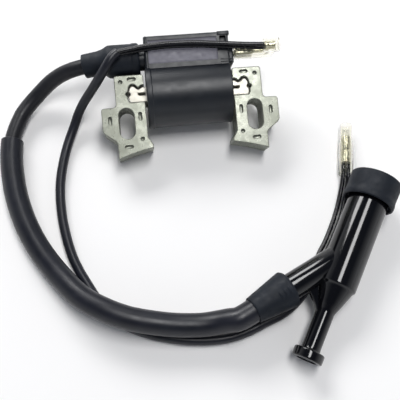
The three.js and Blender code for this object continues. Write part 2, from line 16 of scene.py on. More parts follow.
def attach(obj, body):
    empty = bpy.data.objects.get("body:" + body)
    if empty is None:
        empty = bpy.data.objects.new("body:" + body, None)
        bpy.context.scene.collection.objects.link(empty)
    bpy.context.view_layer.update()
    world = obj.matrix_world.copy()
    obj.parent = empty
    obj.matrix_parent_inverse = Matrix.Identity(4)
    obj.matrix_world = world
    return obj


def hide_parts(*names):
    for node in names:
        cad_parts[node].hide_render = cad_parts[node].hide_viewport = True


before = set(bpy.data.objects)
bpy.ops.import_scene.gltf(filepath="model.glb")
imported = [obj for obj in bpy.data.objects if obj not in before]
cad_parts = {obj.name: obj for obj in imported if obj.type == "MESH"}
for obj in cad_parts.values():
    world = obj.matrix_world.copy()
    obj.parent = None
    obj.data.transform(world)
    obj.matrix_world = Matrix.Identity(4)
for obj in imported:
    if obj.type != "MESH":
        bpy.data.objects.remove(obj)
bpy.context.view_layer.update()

MM = 0.001

# ------------------------------------------------------------------ driving dimensions, mm
SLOT_SPACING = 62.0
SLOT_WIDTH, SLOT_LENGTH, SLOT_Y = 7.4, 14.8, -14.0
STACK = 14.0
LEG_INNER, LEG_OUTER, LEG_TOP, LEG_EAR, LEG_FOOT, LEG_SHOE = 21.5, 35.5, 9.2, 42.7, 36.2, 19.3
POLE_RADIUS, POLE_CORNER_Y = 110.0, -30.8
BAR_HALF = 4.0

BODY_RADIUS, BODY_Y, BODY_HALF = 15.2, -0.8, 20.4
BOX_LEFT, BOX_RIGHT, BOX_LOW, BOX_HIGH, BOX_BOTTOM, BOX_TOP = -19.8, 21.0, 8.0, 26.9, -9.0, 9.0
MOUTH = dict(left=-18.2, right=15.3, low=13.4, high=24.7)
BARREL_WALL, BOX_WALL = 1.6, 1.5
TOWER_Y, TOWER_Z, TOWER_RADIUS, TOWER_LENGTH = 17.8, 1.0, 5.4, 10.5
TOWER_BORE, TOWER_FLOOR_X = 4.1, -24.6
SPADE_Y, SPADE_Z, SPADE_WIDTH = 16.8, 4.6, 6.3

LEAD_DIAMETER = 7.5
CONDUIT_OUTER, CONDUIT_INNER = 10.7, 8.6
SLEEVING_DIAMETER = 4.6
WIRE_DIAMETER = 2.2
WIRE_PITCH = 2.5

KNOB_RADIUS, KNOB_LENGTH, KNOB_RECESS = 7.0, 4.4, 4.6
NECK_RADIUS, NECK_END = 4.3, 23.4
BARREL_RADIUS, BARREL_START, BARREL_END = 9.5, 35.5, 90.0
SOCKET_RADIUS, SOCKET_START, CHANNEL = 7.0, 60.0, 2.9
SEAL_RADIUS, SEAL_START, SEAL_END = 12.4, 79.0, 92.0
ARM_AT, ARM_RADIUS, ARM_SHOULDER, ARM_END, ARM_TIP_RADIUS = 54.0, 6.2, 35.5, 44.0, 5.1
ARM_ANGLE = math.radians(34.4)
BOOT_START, BOOT_END, BOOT_BIG, BOOT_SMALL = 34.5, 54.0, 8.7, 6.3

# the coil leans until its barrel and the tips of its pole shoes touch the surface
DROP_TO_TIP = BODY_Y - POLE_CORNER_Y
LEAN = math.asin(BODY_RADIUS / math.hypot(DROP_TO_TIP, STACK / 2)) - math.atan2(STACK / 2, DROP_TO_TIP)
COIL_AT = Vector((0.0, 1.923, BODY_RADIUS - BODY_Y * math.sin(LEAN)))
COIL = Matrix.Translation(COIL_AT) @ Matrix.Rotation(LEAN, 4, "X")
CAP = Matrix.Translation((38.7, -130.0, KNOB_RADIUS + 0.25)) @ (
    Matrix.Rotation(math.radians(59.4 - 90.0), 4, "Z")
    @ Matrix.Rotation(math.radians(3.7), 4, "X")
    @ Matrix.Rotation(math.radians(10.0), 4, "Y")
)

# ------------------------------------------------------------------ routes of the leads, mm
LEAD_ROUTE = [
    (-25.2, 18.7, 21.4), (-30, 18.7, 21.4), (-35, 18.7, 21.4), (-39.4, 18.7, 21.4),
    (-44.4, 18.2, 21), (-49.7, 17.8, 20.3), (-55.5, 17.5, 18.6), (-61.5, 16.9, 15.6),
    (-66.6, 15.5, 12.5), (-71.2, 13, 9.6), (-75.3, 10, 7.5), (-78.9, 6.7, 6.2),
    (-82, 2.8, 5.6), (-84.2, -1.6, 5.4), (-86, -6.3, 5.4), (-87.3, -11.2, 5.4),
    (-87.9, -18.5, 5.4), (-87.8, -25.4, 5.4), (-87.1, -32.7, 5.4), (-85.9, -40.4, 5.4),
    (-82.7, -52.2, 5.4), (-78, -63.6, 5.4), (-72.7, -73, 5.5), (-65.5, -83.2, 6.8),
    (-57.2, -92.7, 9.2), (-47.8, -99.2, 10.6), (-37.5, -104.1, 10.6), (-24, -107.7, 9.6),
    (-14.1, -109.4, 9), (-4.4, -110.2, 9.2), (2.2, -110, 10.4), (6.4, -109.9, 12),
    (10.2, -110, 13.2), (13.85, -108.6, 13.3), (17.45, -106.9, 13.15), (21.05, -105.15, 12.95),
    (25.55, -103, 12.75), (35.05, -98.5, 12.3), (49, -91.8, 11.6), (55.15, -88.85, 11.3),
]
CONDUIT_FROM, CONDUIT_TO = 80.6, 256.3      # along the lead

SLEEVING_ROUTE = [
    (-32.4, 17.1, 32), (-35.1, 14.9, 31.9), (-37.9, 11.6, 30.4), (-42.7, 7.3, 25.2),
    (-47, 5.2, 18.4), (-51.5, 2.4, 12.2), (-54.7, -1.1, 8), (-57.3, -5.9, 5),
    (-59.9, -11.3, 3.1), (-62, -17, 2.4), (-64.2, -25.8, 2.35), (-65.6, -34.7, 2.35),
    (-65.8, -46.4, 2.35), (-64.6, -58, 2.35), (-61.7, -71, 2.35), (-58.6, -79, 2.35),
    (-55.1, -85.9, 2.35), (-51.1, -93.2, 2.35), (-45.5, -100.5, 2.35), (-38.3, -106.3, 2.35),
    (-28.7, -110.9, 2.35), (-20, -113.6, 2.35), (-11.1, -115.5, 2.35), (-2.2, -116.4, 2.35),
    (7, -116.2, 2.35), (15.5, -114.3, 2.35), (23.9, -111.2, 2.35), (32.6, -107.9, 2.35),
    (39.6, -103.3, 2.35), (45.4, -97.3, 2.35), (49.8, -90.6, 2.35), (52.6, -86.2, 2.35),
]
UPPER_WIRE_ROUTE = [
    (37.2, 14.8, 34), (29.9, 15.6, 33.7), (21.9, 16.6, 33.6), (14.4, 17.5, 33.6),
    (6.8, 18.4, 33.6), (-0.8, 18.9, 33.6), (-9.3, 19, 33.6), (-16.6, 18.7, 33.5),
    (-24.4, 17.9, 33.3), (-31.1, 17.3, 33.2),
]
LOWER_WIRE_ROUTE = [(x, y, z - WIRE_PITCH) for x, y, z in UPPER_WIRE_ROUTE]
LEFT_WIRE_ROUTE = [
    (51.9, -85, 1.5), (55, -80.6, 1.25), (58.2, -76.2, 1.2), (62.5, -69.2, 1.2), (67, -60.6, 1.2),
    (70, -53.4, 1.4), (71.8, -48, 2.3), (73, -43.4, 3.5), (74.2, -37.8, 3.55),
]
RIGHT_WIRE_ROUTE = [
    (54, -86.4, 1.5), (57.4, -82, 1.25), (60.8, -77.3, 1.2), (65.2, -70.3, 1.2), (69.8, -61.6, 1.2),
    (72.7, -54, 1.4), (74.4, -48.6, 2.3), (75.5, -43.8, 3.5), (76.6, -38.2, 3.55),
]
BULLET_START, BULLET_END = Vector((74.3, -43.5, 3.55)), Vector((79.6, -16.7, 3.55))


# ------------------------------------------------------------------ materials
def node_material(name, base, roughness, metallic=0.0, **detail):
    """A principled material with mottled colour, uneven gloss and a fine bump.

    detail: shade (second colour), grain and mottle (sizes in mm), bump (0 to 1), bump_depth (mm),
    rough_spread, specular, ior, transmission.
    """
    made = bpy.data.materials.new(name)
    made.use_nodes = True
    nodes, links = made.node_tree.nodes, made.node_tree.links
    shader = nodes["Principled BSDF"]
    shader.inputs["Metallic"].default_value = metallic
    for key, socket in (
        ("ior", "IOR"), ("transmission", "Transmission Weight"), ("specular", "Specular IOR Level"),
    ):
        if key in detail:
            shader.inputs[socket].default_value = detail[key]
    place = nodes.new("ShaderNodeTexCoord")

    def noise(size_mm, octaves=3.0, rough=0.55):
        texture = nodes.new("ShaderNodeTexNoise")
        texture.inputs["Scale"].default_value = 1.0 / (size_mm * MM)
        texture.inputs["Detail"].default_value = octaves
        texture.inputs["Roughness"].default_value = rough
        links.new(place.outputs["Object"], texture.inputs["Vector"])
        return texture.outputs["Fac"]

    shade = detail.get("shade", tuple(channel * 0.8 for channel in base))
    mottle = noise(detail.get("mottle", 6.0))
    ramp = nodes.new("ShaderNodeValToRGB")
    ramp.color_ramp.elements[0].position = 0.35
    ramp.color_ramp.elements[1].position = 0.65
    ramp.color_ramp.elements[0].color = (*shade, 1.0)
    ramp.color_ramp.elements[1].color = (*base, 1.0)
    links.new(mottle, ramp.inputs["Fac"])
    links.new(ramp.outputs["Color"], shader.inputs["Base Color"])

    spread = detail.get("rough_spread", 0.06)
    gloss = nodes.new("ShaderNodeMapRange")
    gloss.inputs["From Min"].default_value = 0.3
    gloss.inputs["From Max"].default_value = 0.7
    gloss.inputs["To Min"].default_value = max(0.02, roughness - spread)
    gloss.inputs["To Max"].default_value = min(1.0, roughness + spread)
    links.new(noise(detail.get("mottle", 6.0) * 0.4, 5.0), gloss.inputs["Value"])
    links.new(gloss.outputs["Result"], shader.inputs["Roughness"])

    bump = nodes.new("ShaderNodeBump")
    bump.inputs["Strength"].default_value = detail.get("bump", 0.15)
    bump.inputs["Distance"].default_value = detail.get("bump_depth", 0.05) * MM
    links.new(noise(detail.get("grain", 0.5), 4.0, 0.6), bump.inputs["Height"])
    links.new(bump.outputs["Normal"], shader.inputs["Normal"])
    return made


MATERIALS = {
    "lamination_steel": node_material(
        "lamination_steel", (0.275, 0.285, 0.24), 0.3, 0.5, shade=(0.205, 0.215, 0.175),
        mottle=7.0, grain=0.3, bump=0.3, rough_spread=0.08),
    "bright_steel": node_material(
        "bright_steel", (0.56, 0.54, 0.47), 0.34, 0.4, shade=(0.47, 0.45, 0.39),
        mottle=5.0, grain=0.3, bump=0.25, rough_spread=0.08),
    "case_plastic": node_material(
        "case_plastic", (0.006, 0.0085, 0.013), 0.4, shade=(0.004, 0.006, 0.0095), specular=0.5,
        mottle=10.0, grain=0.25, bump=0.25, bump_depth=0.03, rough_spread=0.05),
    "potting_epoxy": node_material(
        "potting_epoxy", (0.205, 0.20, 0.24), 0.5, shade=(0.165, 0.16, 0.195),
        mottle=4.0, grain=0.9, bump=0.35, bump_depth=0.08, rough_spread=0.1),
    "bobbin_nylon": node_material(
        "bobbin_nylon", (0.78, 0.74, 0.62), 0.5, shade=(0.70, 0.66, 0.54), mottle=5.0),
    "copper_wire": node_material(
        "copper_wire", (0.60, 0.26, 0.12), 0.3, 0.9, shade=(0.45, 0.18, 0.08), grain=0.2, bump=0.5),
    "board_laminate": node_material(
        "board_laminate", (0.10, 0.26, 0.13), 0.45, shade=(0.07, 0.20, 0.10), mottle=2.0),
    "film_resin": node_material(
        "film_resin", (0.42, 0.20, 0.06), 0.25, shade=(0.33, 0.15, 0.04), mottle=3.0),
    "ceramic_body": node_material(
        "ceramic_body", (0.60, 0.54, 0.46), 0.6, shade=(0.52, 0.47, 0.40), mottle=2.0),
    "brass_terminal": node_material(
        "brass_terminal", (0.72, 0.70, 0.58), 0.32, 0.8, shade=(0.48, 0.46, 0.34),
        mottle=2.5, grain=0.3, bump=0.2, rough_spread=0.1),
    "boot_rubber": node_material(
        "boot_rubber", (0.005, 0.0085, 0.015), 0.58, shade=(0.0035, 0.006, 0.011), specular=0.3,
        mottle=7.0, grain=0.35, bump=0.4, bump_depth=0.05, rough_spread=0.1),
    "lead_rubber": node_material(
        "lead_rubber", (0.009, 0.0095, 0.013), 0.42, shade=(0.006, 0.0065, 0.009), specular=0.35,
        mottle=8.0, grain=0.4, bump=0.3, bump_depth=0.04, rough_spread=0.08),
    "tube_vinyl": node_material(
        "tube_vinyl", (0.009, 0.010, 0.0165), 0.38, shade=(0.0065, 0.0075, 0.012), specular=0.42,
        mottle=12.0, grain=0.3, bump=0.3, bump_depth=0.04, rough_spread=0.07),
    "wire_vinyl": node_material(
        "wire_vinyl", (0.006, 0.006, 0.008), 0.25, shade=(0.004, 0.004, 0.006), specular=0.4,
        mottle=6.0, grain=0.5, bump=0.15, bump_depth=0.03),
    "cap_phenolic": node_material(
        "cap_phenolic", (0.0035, 0.0038, 0.005), 0.1, shade=(0.0025, 0.0025, 0.0035),
        mottle=14.0, grain=1.2, bump=0.06, bump_depth=0.03, rough_spread=0.03),
    "clear_vinyl": node_material(
        "clear_vinyl", (0.985, 0.98, 0.93), 0.06, shade=(0.975, 0.965, 0.90), rough_spread=0.02,
        mottle=4.0, grain=2.5, bump=0.08, bump_depth=0.04, transmission=1.0, ior=1.18),
}


# ------------------------------------------------------------------ paths
def catmull_rom(route, step):
    """Equal steps along the centripetal Catmull-Rom curve through the route's points."""
    points = [np.array(p, float) for p in route]
    points = [2 * points[0] - points[1]] + points + [2 * points[-1] - points[-2]]
    dense = []
    for a, b, c, d in zip(points, points[1:], points[2:], points[3:]):
        gaps = [math.sqrt(np.linalg.norm(q - p)) for p, q in ((a, b), (b, c), (c, d))]
        start = ((b - a) / gaps[0] - (c - a) / (gaps[0] + gaps[1]) + (c - b) / gaps[1]) * gaps[1]
        finish = ((c - b) / gaps[1] - (d - b) / (gaps[1] + gaps[2]) + (d - c) / gaps[2]) * gaps[1]
        for t in np.linspace(0, 1, 24, endpoint=False):
            dense.append(
                b + start * t + (3 * (c - b) - 2 * start - finish) * t**2
                + (2 * (b - c) + start + finish) * t**3)
    dense.append(points[-2])
    return resample(np.array(dense), step)


def lengths_along(points):
    return np.concatenate([[0.0], np.cumsum(np.linalg.norm(np.diff(points, axis=0), axis=1))])


def resample(points, step):
    along = lengths_along(points)
    wanted = np.linspace(0, along[-1], max(2, round(along[-1] / step) + 1))
    return np.stack([np.interp(wanted, along, points[:, axis]) for axis in range(3)], axis=1)


class Track:
    """Positions and untwisted cross axes at any distance along a path."""

    def __init__(self, points, up=(0, 0, 1)):
        self.points = np.array(points, float)
        self.along = lengths_along(self.points)
        self.length = self.along[-1]
        tangents = np.gradient(self.points, self.along, axis=0)
        self.tangents = tangents / np.linalg.norm(tangents, axis=1)[:, None]
        side = np.cross(self.tangents[0], up)
        if np.linalg.norm(side) < 1e-3:
            side = np.cross(self.tangents[0], (1, 0, 0))
        sides = []
        for tangent in self.tangents:
            side = side - tangent * (side @ tangent)
            side = side / np.linalg.norm(side)
            sides.append(side)
        self.sides = np.array(sides)

    def at(self, s):
        s_in = min(max(s, 0.0), self.length)
        pick = lambda rows: np.array([np.interp(s_in, self.along, rows[:, axis]) for axis in range(3)])
        tangent = pick(self.tangents)
        tangent /= np.linalg.norm(tangent)
        side = pick(self.sides)
        side = side - tangent * (side @ tangent)
        side /= np.linalg.norm(side)
        return pick(self.points) + tangent * (s - s_in), side, np.cross(side, tangent), tangent


# ------------------------------------------------------------------ meshes
def piece(name, verts, faces, slot, body="root", place=None, sharp=35.0, replaces=(), flat=0):
    """A mesh object from millimetre points; the last `flat` faces are shaded flat."""
    mesh = bpy.data.meshes.new(name)
    if place is not None:
        verts = [place @ Vector(v) for v in verts]
    mesh.from_pydata([Vector(v) * MM for v in verts], [], [list(map(int, f)) for f in faces])
    made = finish_piece(bpy.data.objects.new(name, mesh), slot, body, sharp, replaces)
    for face in mesh.polygons[len(mesh.polygons) - flat:]:
        face.use_smooth = False
    return made


def finish_piece(made, slot, body="root", sharp=35.0, replaces=()):
    if made.name not in bpy.context.scene.collection.objects:
        bpy.context.scene.collection.objects.link(made)
    made.data.materials.clear()
    made.data.materials.append(MATERIALS[slot])
    if made.type == "MESH":
        made.data.polygons.foreach_set("use_smooth", [True] * len(made.data.polygons))
        made.data.set_sharp_from_angle(angle=math.radians(sharp))
    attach(made, body)
    if replaces:
        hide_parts(*replaces)
    return made


def swept(track, profile, sides=48, closed=False, warp=None):
    """Rings of [distance along the track, radius] pairs; radius 0 is a point on the line.

    closed joins the last ring to the first, as round a bore. warp(s, angle, radius) gives
    a changed radius, for ribs and dents.
    """
    angles = np.linspace(0, 2 * math.pi, sides, endpoint=False)
    verts, rings = [], []
    for s, radius in profile:
        centre, side, up, _ = track.at(s)
        if radius <= 0:
            rings.append([len(verts)])
            verts.append(centre)
            continue
        reach = np.full(sides, radius) if warp is None else np.array([warp(s, a, radius) for a in angles])
        rings.append(list(range(len(verts), len(verts) + sides)))
        verts.extend(centre + np.outer(np.cos(angles) * reach, side) + np.outer(np.sin(angles) * reach, up))
    if closed:
        rings.append(rings[0])
    faces = []
    for low, high in zip(rings, rings[1:]):
        for i in range(sides):
            j = (i + 1) % sides
            if len(low) == 1:
                faces.append((low[0], high[i], high[j]))
            elif len(high) == 1:
                faces.append((low[i], high[0], low[j]))
            else:
                faces.append((low[i], high[i], high[j], low[j]))
    return np.array(verts), faces


def straight(start, end):
    return Track([start, (np.array(start) + np.array(end)) / 2, end])


REACH = 200.0                               # half the length of the tracks for turned shapes
Y_AXIS = straight((0, -REACH, 0), (0, REACH, 0))


def from_middle(profile):
    """A profile's distances, counted from the middle of such a track."""
    return [(along + REACH, radius) for along, radius in profile]


def rounded(corners, radius, steps=4, closed=False):
    """A profile polyline with its corners rounded by short arcs."""
    out = []
    count = len(corners)
    for i, corner in enumerate(corners):
        corner = np.array(corner, float)
        if not closed and i in (0, count - 1):
            out.append(tuple(corner))
            continue
        before = np.array(corners[i - 1], float)
        after = np.array(corners[(i + 1) % count], float)
        reach = min(radius, 0.45 * np.linalg.norm(before - corner), 0.45 * np.linalg.norm(after - corner))
        a = corner + (before - corner) / np.linalg.norm(before - corner) * reach
        b = corner + (after - corner) / np.linalg.norm(after - corner) * reach
        for t in np.linspace(0, 1, steps + 1):
            out.append(tuple((1 - t) ** 2 * a + 2 * t * (1 - t) * corner + t**2 * b))
    return out


# ------------------------------------------------------------------ camera
def make_camera():
    """Looks down on the leads from the near side, a little off the vertical."""
    data = bpy.data.cameras.new("camera")
    data.sensor_width = 36.0
    data.lens = 55.8
    camera = bpy.data.objects.new("camera", data)
    bpy.context.scene.collection.objects.link(camera)
    place = Vector((-24.7, -146.9, 285.9)) * MM
    target = Vector((0.95, -48.75, 0.0)) * MM
    look = (target - place).to_track_quat("-Z", "Y")
    camera.location = place
    camera.rotation_mode = "QUATERNION"
    camera.rotation_quaternion = look @ Euler((0, 0, math.radians(8.74))).to_quaternion()
    bpy.context.scene.camera = camera


make_camera()


# ------------------------------------------------------------------ leads
LEAD_LINE = catmull_rom(LEAD_ROUTE, 1.5)
LEAD_TRACK = Track(LEAD_LINE)
SLEEVING_LINE = catmull_rom(SLEEVING_ROUTE, 1.2)


def metres(points):
    return [tuple(float(value) * MM for value in point) for point in points]


def wire_curve(name, points, diameter, slot, replaces):
    """A round lead as one open spline."""
    data = bpy.data.curves.new(name, "CURVE")
    data.dimensions = "3D"
    data.bevel_depth = diameter / 2 * MM
    data.bevel_resolution = 7
    data.use_fill_caps = True
    spline = data.splines.new("POLY")
    spline.points.add(len(points) - 1)
    for knot, point in zip(spline.points, metres(points)):
        knot.co = (*point, 1.0)
    spline.use_smooth = True
    return finish_piece(bpy.data.objects.new(name, data), slot, replaces=replaces)


def tube_piece(name, track, start, end, outer, inner, slot, replaces, sides=40, step=1.5):
    """A hollow tube with softened rims between two distances along a track."""
    steps = list(np.linspace(start + 0.3, end - 0.3, round((end - start) / step)))
    mid = (outer + inner) / 2
    outside = [(start, mid), (start + 0.05, outer - 0.2)] + [(s, outer) for s in steps]
    outside += [(end - 0.05, outer - 0.2), (end, mid)]
    inside = [(end - 0.1, inner + 0.1)] + [(s, inner) for s in reversed(steps)] + [(start + 0.1, inner + 0.1)]
    verts, faces = swept(track, outside + inside, sides, closed=True)
    return piece(name, verts, faces, slot, replaces=replaces)


def level_axes(line):
    """Sideways and upward axes that keep level along a path."""
    tangents = np.gradient(line, axis=0)
    sideways = np.cross(tangents, (0, 0, 1))
    sideways /= np.linalg.norm(sideways, axis=1)[:, None]
    upward = np.cross(sideways, tangents)
    return sideways, upward / np.linalg.norm(upward, axis=1)[:, None]


def through_sleeving(sign, spread=0.95):
    """One wire's line in the sleeving: the pair starts one above the other and ends side by side."""
    sideways, upward = level_axes(SLEEVING_LINE)
    turn = np.linspace(0, math.pi / 2, len(SLEEVING_LINE))[:, None]
    shifted = SLEEVING_LINE + sign * spread * (np.cos(turn) * upward - np.sin(turn) * sideways)
    return shifted[2:-2:6]


def low_tension_wire(name, start_route, sign, end_route, replaces):
    """One wire from the flag terminal to the bullet, with its length and exit in metres."""
    route = start_route[:-1] + [tuple(p) for p in through_sleeving(sign)] + end_route[1:]
    line = catmull_rom(route, 1.2)
    wire = wire_curve(name, line, WIRE_DIAMETER, "wire_vinyl", replaces)
    return wire, lengths_along(line)[-1] * MM, metres([line[0]])[0]


high_lead = wire_curve("high_tension_lead", LEAD_LINE, LEAD_DIAMETER, "lead_rubber", ("hv_lead",))

conduit = tube_piece("protective_tube", LEAD_TRACK, CONDUIT_FROM, CONDUIT_TO,
                     CONDUIT_OUTER / 2, CONDUIT_INNER / 2, "tube_vinyl", ("lead_conduit",))

sleeving_track = Track(SLEEVING_LINE)
sleeving = tube_piece("wire_sleeve", sleeving_track, 0.0, sleeving_track.length,
                      SLEEVING_DIAMETER / 2, SLEEVING_DIAMETER / 2 - 0.25, "tube_vinyl",
                      ("wire_sleeving",), sides=32, step=1.2)

upper_wire = low_tension_wire("low_tension_wire_a", UPPER_WIRE_ROUTE, 1, LEFT_WIRE_ROUTE,
                              ("lt_wire_upper", "bullet_wire_left"))
lower_wire = low_tension_wire("low_tension_wire_b", LOWER_WIRE_ROUTE, -1, RIGHT_WIRE_ROUTE,
                              ("lt_wire_lower", "bullet_wire_right"))


# ------------------------------------------------------------------ solid helpers
def box_mesh(low, high, bevel=0.4, segments=3):
    """A block between two corners with rounded edges, as a temporary object in millimetres."""
    shape = bmesh.new()
    bmesh.ops.create_cube(shape, size=1.0)
    size = [h - l for l, h in zip(low, high)]
    middle = [(l + h) / 2 for l, h in zip(low, high)]
    bmesh.ops.scale(shape, vec=size, verts=shape.verts)
    bmesh.ops.translate(shape, vec=middle, verts=shape.verts)
    if bevel > 0:
        bmesh.ops.bevel(shape, geom=shape.edges[:], offset=bevel, segments=segments, profile=0.5,
                        affect="EDGES")
    return temporary(shape)


def lathe_x(profile, centre=(0, 0, 0), sides=96):
    """Closed solid of revolution about a line along +X; profile holds [x, radius] pairs."""
    track = straight((-REACH, centre[1], centre[2]), (REACH, centre[1], centre[2]))
    verts, faces = swept(track, from_middle(profile), sides)
    return from_rows(verts, faces)


def lathe_y(profile, sides=96, place=None):
    """Closed solid of revolution about +Y; profile holds [y, radius] pairs."""
    verts, faces = swept(Y_AXIS, from_middle(profile), sides)
    return from_rows(verts if place is None else [place @ Vector(v) for v in verts], faces)


def from_rows(verts, faces):
    shape = bmesh.new()
    rows = [shape.verts.new(v) for v in verts]
    for face in faces:
        shape.faces.new([rows[i] for i in face])
    holes = [edge for edge in shape.edges if len(edge.link_faces) == 1]
    if holes:
        bmesh.ops.holes_fill(shape, edges=holes)
    bmesh.ops.recalc_face_normals(shape, faces=shape.faces)
    return temporary(shape)


def temporary(shape):
    bmesh.ops.recalc_face_normals(shape, faces=shape.faces)
    mesh = bpy.data.meshes.new("shape")
    shape.to_mesh(mesh)
    shape.free()
    made = bpy.data.objects.new("shape", mesh)
    bpy.context.scene.collection.objects.link(made)
    return made


def combine(base, others, operation):
    """Boolean of temporary objects; the others are used up."""
    for other in others:
        step = base.modifiers.new("step", "BOOLEAN")
        step.operation = operation
        step.solver = "EXACT"
        step.object = other
        bpy.context.view_layer.update()
        graph = bpy.context.evaluated_depsgraph_get()
        baked = bpy.data.meshes.new_from_object(base.evaluated_get(graph))
        base.modifiers.clear()
        base.data = baked
        bpy.data.objects.remove(other)
    return base


def join_shapes(base, *others):
    return combine(base, others, "UNION")


def carve(base, *others):
    return combine(base, others, "DIFFERENCE")


def keep_shape(made, name, slot, body="root", place=None, sharp=35.0, replaces=()):
    """Turns a temporary millimetre object into a finished piece."""
    made.name = name
    made.data.transform(Matrix.Scale(MM, 4) @ (place or Matrix.Identity(4)))
    return finish_piece(made, slot, body, sharp, replaces)


# ------------------------------------------------------------------ armature
def quadratic(start, control, end, steps=5):
    start, control, end = (np.array(p, float) for p in (start, control, end))
    return [tuple((1 - t) ** 2 * start + 2 * t * (1 - t) * control + t**2 * end)
            for t in np.linspace(0, 1, steps + 1)[1:]]


def arc(centre, radius, start, end, steps):
    return [(centre[0] + radius * math.cos(a), centre[1] + radius * math.sin(a))
            for a in np.linspace(start, end, steps + 1)]


def pole_y(x):
    return POLE_CORNER_Y - math.sqrt(POLE_RADIUS**2 - LEG_FOOT**2) + math.sqrt(POLE_RADIUS**2 - x**2)


# the gap between the bar's end and the leg: [x, y, half width], from the barrel to the end hole
JOINT_GAP = [
    (20.9, 3.55, 0.55), (21.8, 3.6, 0.56), (22.7, 3.45, 0.58), (23.5, 2.85, 0.55), (24.3, 2.55, 0.5),
    (25.1, 2.95, 0.52), (25.9, 3.8, 0.56), (26.8, 4.2, 0.55), (27.6, 4.1, 0.5), (28.3, 3.5, 0.42),
    (28.8, 2.5, 0.3), (29.05, 1.4, 0.24),
]
JOINT_FOOT = [(29.25, -1.3, 0.24), (29.3, -2.2, 0.24), (29.15, -3.1, 0.2), (28.75, -3.95, 0.1)]
HOLE_RADIUS = 1.12


def gap_side(stretch, sign):
    """One wall of the gap: sign 1 is the leg's, -1 the bar's."""
    line = np.array([(x, y) for x, y, _ in stretch])
    ahead = np.gradient(line, axis=0)
    ahead /= np.linalg.norm(ahead, axis=1)[:, None]
    outward = np.stack([-ahead[:, 1], ahead[:, 0]], axis=1)
    half = np.array([width for _, _, width in stretch])[:, None]
    walls = line + sign * outward * half
    smooth = catmull_rom([(x, y, 0.0) for x, y in walls], 0.22)
    return [(x, y) for x, y, _ in smooth]


def leg_outline():
    """One leg in the plane of the sheets, for the +X side, anticlockwise from its upper inner corner."""
    inner, outer, top, ear, foot = LEG_INNER, LEG_OUTER, LEG_TOP, LEG_EAR, LEG_FOOT
    points = [(inner, top - 1.2)] + quadratic((inner, top - 1.2), (inner, top), (inner + 1.2, top))
    points += [(outer - 1.4, top)]
    points += quadratic((outer - 1.4, top), (outer, top), (outer, top - 1.4))
    points += [(outer, -4.4)] + quadratic((outer, -4.4), (outer + 0.2, -6), (outer + 1.8, -6))
    points += [(ear - 1.6, -6)] + quadratic((ear - 1.6, -6), (ear, -6), (ear, -7.6))
    points += [(ear, -16.6)] + quadratic((ear, -16.6), (ear - 0.3, -18), (ear - 1.5, -18.9))
    points += [(foot + 1.4, -21.6)] + quadratic((foot + 1.4, -21.6), (foot, -22.4), (foot, -23.8))
    points += [(x, pole_y(x)) for x in np.linspace(foot, LEG_SHOE, 15)]
    points += [(LEG_SHOE, -24.8), (inner, -21.3), (inner, -4.22), (28.4, -4.22)]
    points += gap_side(JOINT_FOOT[::-1], -1)
    points += arc((29.3, 0), HOLE_RADIUS, math.radians(-80), math.radians(84), 12)
    points += gap_side(JOINT_GAP[::-1], -1)[:-3]
    points += [(inner, 4.13)]
    return np.array(points)[::-1]


def bar_outline():
    """The centre bar with its wavy interlocking ends."""
    right = [(0.1, -BAR_HALF), (20.2, -BAR_HALF), (20.8, -4.16), (28.35, -4.16)]
    right += gap_side(JOINT_FOOT[::-1], 1)
    right += arc((29.3, 0), HOLE_RADIUS, math.radians(262), math.radians(100), 12)
    right += gap_side(JOINT_GAP[::-1], 1)
    right += [(20.2, BAR_HALF), (0.1, BAR_HALF)]
    return np.array(right + [(-x, y) for x, y in reversed(right)])


def obround(centre, half_run, radius, upright):
    points = []
    for sign in (1, -1):
        middle = np.array(centre) + sign * half_run * (np.array((0, 1)) if upright else np.array((1, 0)))
        begin = (0 if upright else -math.pi / 2) + (0 if sign > 0 else math.pi)
        points += arc(middle, radius, begin, begin + math.pi, 12)
    return np.array(points)


def inset(loop, distance):
    """Moves a closed anticlockwise loop inwards; a negative distance moves it outwards."""
    before = loop - np.roll(loop, 1, axis=0)
    after = np.roll(loop, -1, axis=0) - loop
    before /= np.maximum(np.linalg.norm(before, axis=1)[:, None], 1e-9)
    after /= np.maximum(np.linalg.norm(after, axis=1)[:, None], 1e-9)
    normal = np.stack([-(before + after)[:, 1], (before + after)[:, 0]], axis=1)
    normal /= np.maximum(np.linalg.norm(normal, axis=1)[:, None], 1e-9)
    spread = np.maximum(np.abs(np.sum(normal * np.stack([-after[:, 1], after[:, 0]], axis=1), axis=1)), 0.5)
    return loop + normal * (distance / spread)[:, None]


